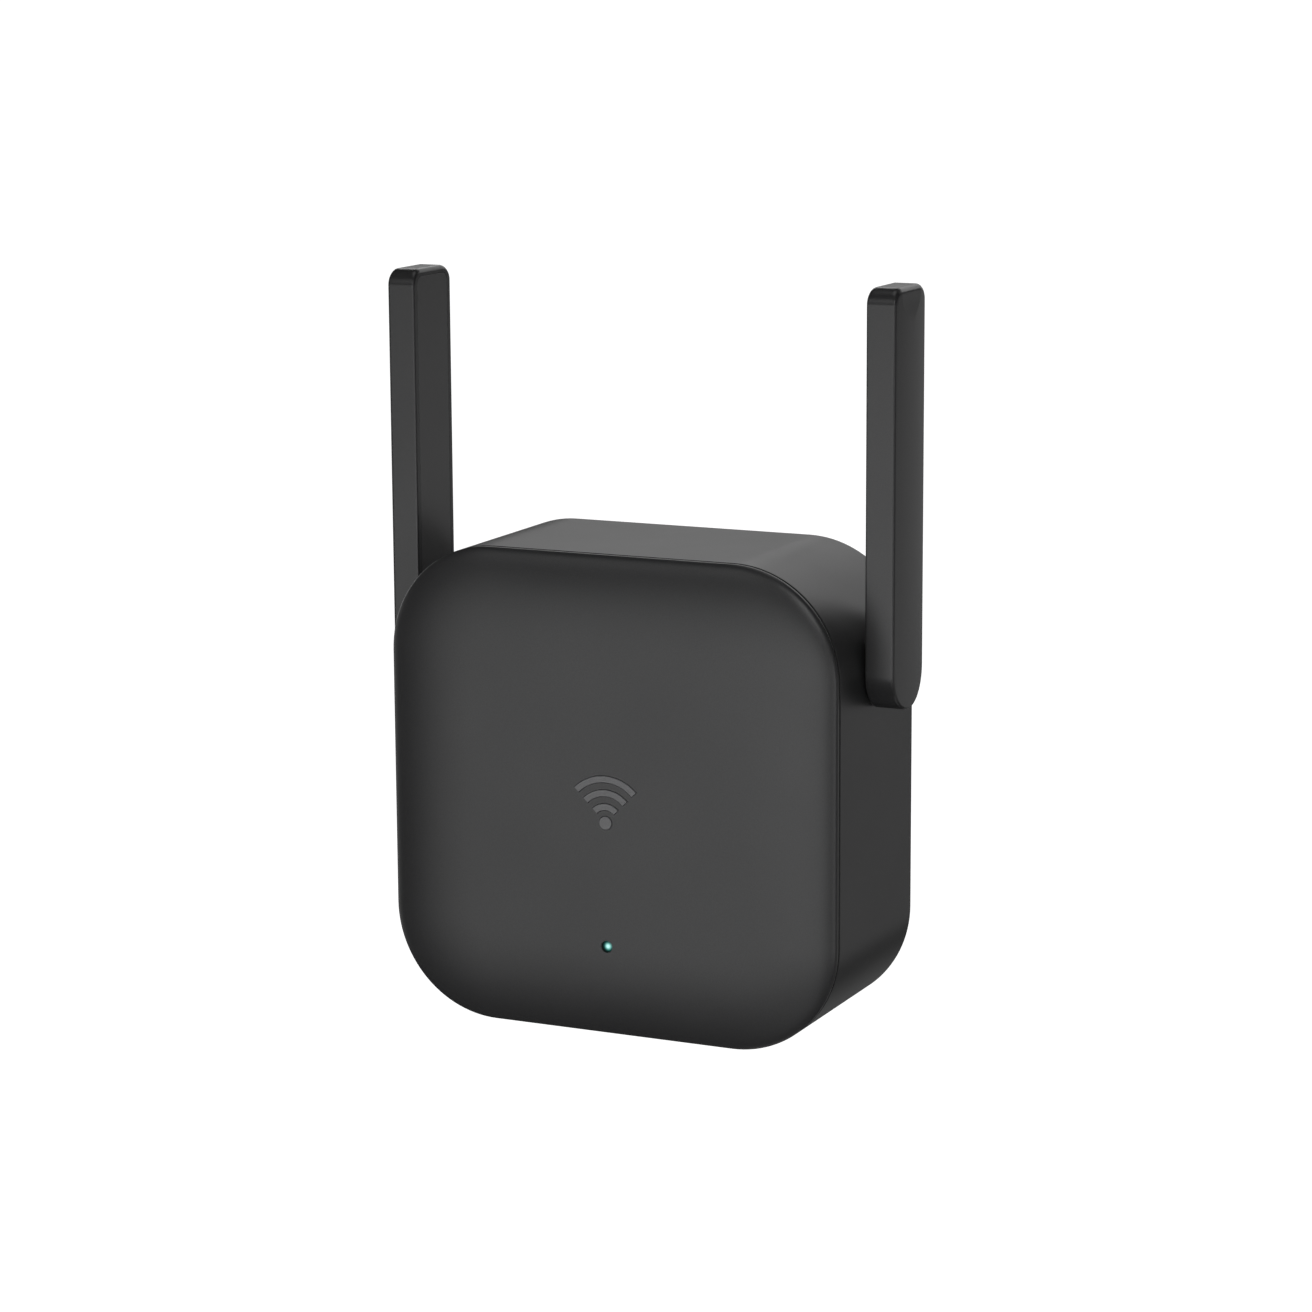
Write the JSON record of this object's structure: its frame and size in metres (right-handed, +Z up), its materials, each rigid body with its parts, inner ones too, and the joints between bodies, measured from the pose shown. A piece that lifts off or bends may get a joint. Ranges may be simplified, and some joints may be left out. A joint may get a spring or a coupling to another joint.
{
  "type": "wifi range extender",
  "caption": "Plug-in wifi range extender: rounded square black case with a crowned front, round-pin mains plug on the back and flat folding side antennas.",
  "frame": {"origin": "centre of the plug's end face, between the two pins", "axes": "+Y out of the plug along its pins, into the wall socket; the front cover faces -Y; +Z up along the raised antennas; +X to the right seen from the front"},
  "size_m": [0.0754, 0.0583, 0.102],
  "materials": {
    "case_black": "fine matte moulding grain",
    "cover_black": "satin matte",
    "emblem_grey": "satin inlay",
    "light_guide": "clear, lit blue-green",
    "label_black": "smooth blank film",
    "plug_black": "matte moulding grain",
    "pin_nickel": "nickel plated",
    "sleeve_black": "smooth",
    "contact_brass": "plain",
    "board_green": "solder mask",
    "ferrite": "dull sintered",
    "tape_yellow": "wound tape",
    "capacitor_black": "sleeved can",
    "capacitor_blue": "dipped coating",
    "fuse_green": "painted body",
    "copper_wire": "enamelled winding",
    "chip_black": "moulded package",
    "inductor_dark": "dull sintered",
    "header_cream": "moulded",
    "sheet_amber": "thin film",
    "tin": "tin plated",
    "passive_tan": "plain",
    "pad_blue": "soft pad",
    "led_white": "lit blue-green",
    "switch_steel": "pressed frame",
    "stem_black": "moulded",
    "button_grey": "moulded",
    "screw_steel": "zinc plated",
    "coax_black": "smooth jacket",
    "bush_black": "low-friction moulding",
    "spring_steel": "plain spring steel",
    "shaft_aluminium": "turned",
    "antenna_black": "satin matte",
    "lid_black": "satin matte",
    "element_copper": "printed copper"
  },
  "bodies": {
    "case": {"front_cover": "cover_black", "front_emblem": "emblem_grey", "rear_housing": "case_black", "light_pipe": "light_guide", "rating_label": "label_black", "plug_base": "plug_black", "plug_pin_left": "pin_nickel", "plug_pin_right": "pin_nickel", "pin_sleeve_left": "sleeve_black", "pin_sleeve_right": "sleeve_black", "plug_contacts": "contact_brass", "power_board": "board_green", "transformer_core": "ferrite", "transformer_winding": "tape_yellow", "bulk_capacitors": "capacitor_black", "output_capacitors": "capacitor_blue", "input_fuse": "fuse_green", "input_choke": "copper_wire", "bridge_rectifier": "chip_black", "noise_capacitor": "capacitor_blue", "power_controller": "chip_black", "output_inductor": "inductor_dark", "board_header": "header_cream", "insulation_sheet": "sheet_amber", "main_board": "board_green", "rf_shield": "tin", "wifi_chip": "chip_black", "flash_chip": "chip_black", "crystal": "tin", "board_passives": "passive_tan", "thermal_pad": "pad_blue", "status_led": "led_white", "rf_connectors": "contact_brass", "reset_switch": "switch_steel", "board_screws": "screw_steel", "coax_left": "coax_black", "coax_right": "coax_black", "hinge_bush_left": "bush_black", "hinge_bush_right": "bush_black", "friction_washer_left": "spring_steel", "friction_washer_right": "spring_steel"},
    "antenna_left": {"antenna_shell_left": "antenna_black", "antenna_lid_left": "lid_black", "antenna_element_left": "element_copper", "antenna_coax_left": "coax_black", "hinge_shaft_left": "shaft_aluminium", "hinge_clip_left": "spring_steel"},
    "antenna_right": {"antenna_shell_right": "antenna_black", "antenna_lid_right": "lid_black", "antenna_element_right": "element_copper", "antenna_coax_right": "coax_black", "hinge_shaft_right": "shaft_aluminium", "hinge_clip_right": "spring_steel"},
    "reset_button": {"reset_button": "button_grey", "reset_stem": "stem_black"}
  },
  "joints": [
    {"name": "antenna_left_fold", "type": "hinge", "parent": "case", "child": "antenna_left", "pos_m": [-0.033, -0.024, 0.018], "axis": [1, 0, 0], "range_deg": [0, 180]},
    {"name": "antenna_right_fold", "type": "hinge", "parent": "case", "child": "antenna_right", "pos_m": [0.033, -0.024, 0.018], "axis": [1, 0, 0], "range_deg": [0, 180]},
    {"name": "reset_button_press", "type": "slide", "parent": "case", "child": "reset_button", "axis": [0, 0, 1], "range_m": [0, 0.0004], "stiffness_N_per_m": 1500, "springref_m": -0.0004}
  ]
}
